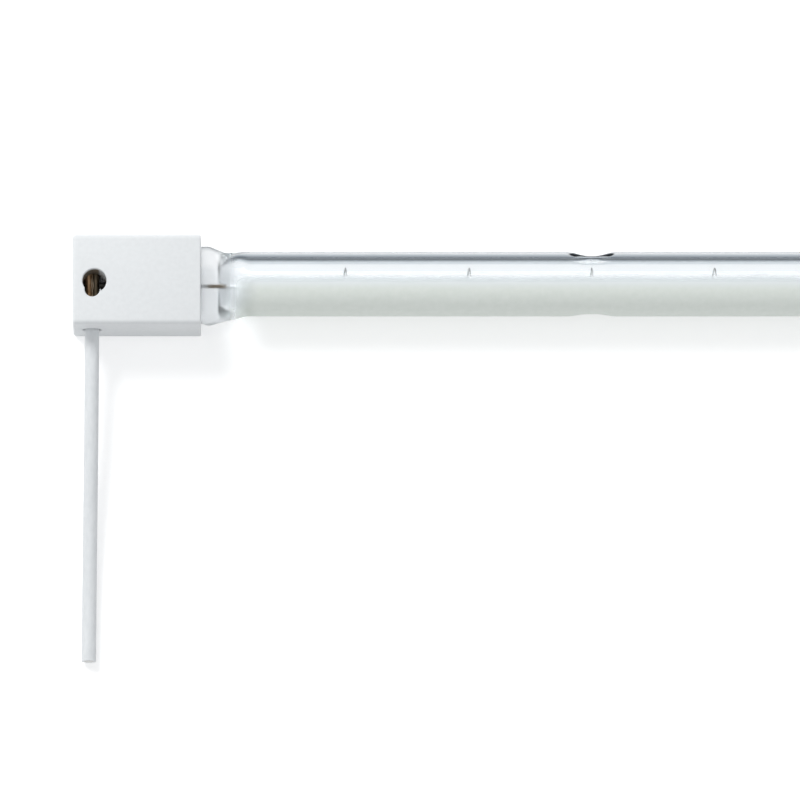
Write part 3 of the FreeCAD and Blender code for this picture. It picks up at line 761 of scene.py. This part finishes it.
quartz = quartz_material()
reflector = coating_material()
ceramic = ceramic_material()
cement = cement_material()
tungsten = metal_material("tungsten", (0.20, 0.19, 0.18), (0.34, 0.33, 0.31), 0.38)
support_metal = metal_material("support_wire", (0.52, 0.51, 0.50), (0.66, 0.65, 0.64), 0.35)
molybdenum = metal_material("molybdenum", (0.34, 0.33, 0.31), (0.50, 0.48, 0.45), 0.32)
aged = inner_lead_material()
# The outer pins, deep in the cap's hole, get a near-black metal.
near_black_pin_metal = metal_material("near_black_pin", (0.035, 0.035, 0.032), (0.09, 0.088, 0.08), 0.5)
bronze = splice_material()
strand_metal = metal_material("strand_metal", (0.42, 0.33, 0.23), (0.66, 0.54, 0.40), 0.42)
tinned = metal_material("tinned_strands", (0.60, 0.595, 0.58), (0.74, 0.735, 0.72), 0.4)
insulation = lead_material()

# Camera, cords and their ends come first

camera_data = bpy.data.cameras.new("camera")
camera = link(bpy.data.objects.new("camera", camera_data))
bpy.context.scene.camera = camera
FRAME_WIDTH, DISTANCE, ELEVATION = 125.2, 4500.0, 78.6
target = Vector((-126.5, -18.27, AXIS_Z)) * MM
tilt = math.radians(ELEVATION)
back = Vector((0.0, -math.cos(tilt), math.sin(tilt)))
camera_data.sensor_width = 36.0
camera_data.lens = camera_data.sensor_width * DISTANCE / FRAME_WIDTH
camera_data.clip_start, camera_data.clip_end = 0.1, 50.0
camera.location = target + back * (DISTANCE * MM)
camera.rotation_mode = "QUATERNION"
camera.rotation_quaternion = (-back).to_track_quat("-Z", "Y")

for side, sign in (("left", -1), ("right", 1)):
    lead = make_lead(f"{side}_flying_lead", sign)
    dress(lead, insulation)
    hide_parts(f"{side}_lead")
    points = lead_points(sign)
    end = Vector(points[-1])
    ends = []
    strand = 0.15
    for ring, count in ((0, 1), (1, 6), (2, 12)):
        for k in range(count):
            a = 2 * math.pi * k / count
            r = ring * 2 * strand
            x, z = end.x + r * math.cos(a), end.z + r * math.sin(a)
            ends.append(wire([(x, end.y + 0.6, z), (x, end.y - 0.06, z)], strand * 0.96, 8))
    tips = piece(f"{side}_strand_ends", *join(*ends))
    dress(tips, tinned)

# Envelope, reflector, coil and supports

envelope = make_quartz()
dress(envelope, quartz)
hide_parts("quartz_tube")
layer = make_coating()
dress(layer, reflector)
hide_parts("reflector_coating")
coil = make_filament()
dress(coil, tungsten)
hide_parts("filament")
for number in range(1, 16):
    support = make_support(number, (number - 8) * SUPPORT_PITCH)
    dress(support, support_metal)
    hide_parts(f"filament_support_{number:02d}")

# Caps, splices and conductors of both ends

left_cap = make_cap()
dress(left_cap, ceramic)
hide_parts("left_cap")
right_mesh = left_cap.data.copy()
for vertex in right_mesh.vertices:
    vertex.co.x = -vertex.co.x
right_mesh.flip_normals()
right_cap = link(bpy.data.objects.new("right_ceramic_cap", right_mesh))
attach(right_cap, "root")
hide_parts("right_cap")

ferrule = make_splice()
strands = make_strands("strands", 2.35, -3.4, 0.62, 1.1)
for side in ("left", "right"):
    shape = ferrule if side == "left" else mirrored(*ferrule)
    splice = piece(f"{side}_crimp_ferrule", *shape)
    splice.data.set_sharp_from_angle(angle=math.radians(50))
    dress(splice, bronze)
    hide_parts(f"{side}_splice")
    shape = strands if side == "left" else mirrored(*strands)
    core = piece(f"{side}_conductor_strands", *shape)
    dress(core, strand_metal)
    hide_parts(f"{side}_lead_core")

for side in ("left", "right"):
    for node, material, slot in (
        ("cement", cement, "cement"),
        ("inner_lead", aged, "molybdenum"),
        ("foil", molybdenum, "molybdenum"),
        ("outer_pin", near_black_pin_metal, "molybdenum"),
    ):
        dress(frame["nodes"][f"{side}_{node}"], material)

# Floor, card, world and lamps


def plane(name, low, high, z):
    """A flat rectangle at a height, its corners in millimetres."""
    corners = [(low[0], low[1], z), (high[0], low[1], z), (high[0], high[1], z), (low[0], high[1], z)]
    thing = piece(name, corners, [(0, 1, 2, 3)], smooth=False)
    return thing


floor = plane("floor", (-3000, -3000), (3000, 3000), 0.0)
floor_material, floor_shader = new_material("floor")
set_inputs(floor_shader, Base_Color=(0.88, 0.88, 0.88, 1), Roughness=0.9)
path = add(floor_material, "ShaderNodeLightPath")
seen = maths(floor_material, "ADD", path.outputs["Is Camera Ray"], path.outputs["Is Glossy Ray"], clamp=True)
seen = maths(floor_material, "MULTIPLY", seen, 0.40)
through = maths(floor_material, "MULTIPLY", path.outputs["Is Transmission Ray"], 0.20)
glow = add(floor_material, "ShaderNodeEmission")
wire_up(floor_material, maths(floor_material, "MAXIMUM", seen, through), glow.inputs["Strength"])
both = add(floor_material, "ShaderNodeAddShader")
wire_up(floor_material, floor_shader.outputs[0], both.inputs[0])
wire_up(floor_material, glow.outputs[0], both.inputs[1])
floor_output = next(n for n in floor_material.node_tree.nodes if n.type == "OUTPUT_MATERIAL")
wire_up(floor_material, both.outputs[0], floor_output.inputs[0])
floor.data.materials.append(floor_material)

# A glowing card beside the clear side of the tube, seen only in reflections and through the glass: its painted tones,
# pale by the tube and dark further out, are a painted reflection that gives the glass its dark band
CARD_START, CARD_SPAN = 4.0, 20.0
card = plane("dark_card", (-260.0, CARD_START), (260.0, 64.0), 0.05)
card_material, card_shader = new_material("dark_card")
place = add(card_material, "ShaderNodeTexCoord")
split = add(card_material, "ShaderNodeSeparateXYZ")
wire_up(card_material, place.outputs["Object"], split.inputs[0])
shade = add(card_material, "ShaderNodeValToRGB")
# Tone of the card's painted glow at each distance in Y
SHADES = [(4.0, 1.02), (6.3, 0.95), (7.2, 0.64), (8.8, 0.5), (10.6, 0.36), (13.0, 0.19), (18.0, 0.14), (24.0, 0.17)]
stops = shade.color_ramp.elements
while len(stops) < len(SHADES):
    stops.new(0.5)
for stop, (y, tone) in zip(stops, SHADES):
    stop.position = (y - CARD_START) / CARD_SPAN
for stop, (y, tone) in zip(stops, SHADES):
    tint = 0.16 * (1 - min(tone, 1))
    stop.color = (tone * (1 - tint), tone, tone * (1 + tint), 1)
span = add(card_material, "ShaderNodeMapRange")
wire_up(card_material, split.outputs["Y"], span.inputs["Value"])
set_inputs(span, From_Min=CARD_START * MM, From_Max=(CARD_START + CARD_SPAN) * MM)
wire_up(card_material, span.outputs["Result"], shade.inputs["Fac"])
glow = add(card_material, "ShaderNodeEmission")
wire_up(card_material, shade.outputs["Color"], glow.inputs["Color"])
card_output = next(n for n in card_material.node_tree.nodes if n.type == "OUTPUT_MATERIAL")
wire_up(card_material, glow.outputs[0], card_output.inputs[0])
card.data.materials.append(card_material)
card.visible_camera = False
card.visible_diffuse = False
card.visible_shadow = False

world = bpy.data.worlds.new("world")
bpy.context.scene.world = world
world.use_nodes = True
background = world.node_tree.nodes["Background"]
background.inputs["Color"].default_value = (0.97, 0.985, 1, 1)
path = add(world, "ShaderNodeLightPath")
seen = maths(world, "ADD", path.outputs["Is Camera Ray"], path.outputs["Is Glossy Ray"], clamp=True)
seen = maths(world, "ADD", seen, path.outputs["Is Transmission Ray"], clamp=True)
strength = maths(world, "ADD", maths(world, "MULTIPLY", seen, 0.40), 0.60)
wire_up(world, strength, background.inputs["Strength"])


def add_light(name, place, aim, size, power):
    data = bpy.data.lights.new(name, "AREA")
    data.shape = "RECTANGLE"
    data.size, data.size_y = size
    data.energy = power
    lamp = link(bpy.data.objects.new(name, data))
    lamp.location = place
    lamp.rotation_mode = "QUATERNION"
    lamp.rotation_quaternion = (Vector(aim) - Vector(place)).to_track_quat("-Z", "Y")
    return lamp


add_light("key", (-0.65, 0.65, 0.85), (-0.1, 0.0, 0.0), (0.5, 0.35), 7.0)

bpy.context.scene.view_settings.view_transform = "Standard"
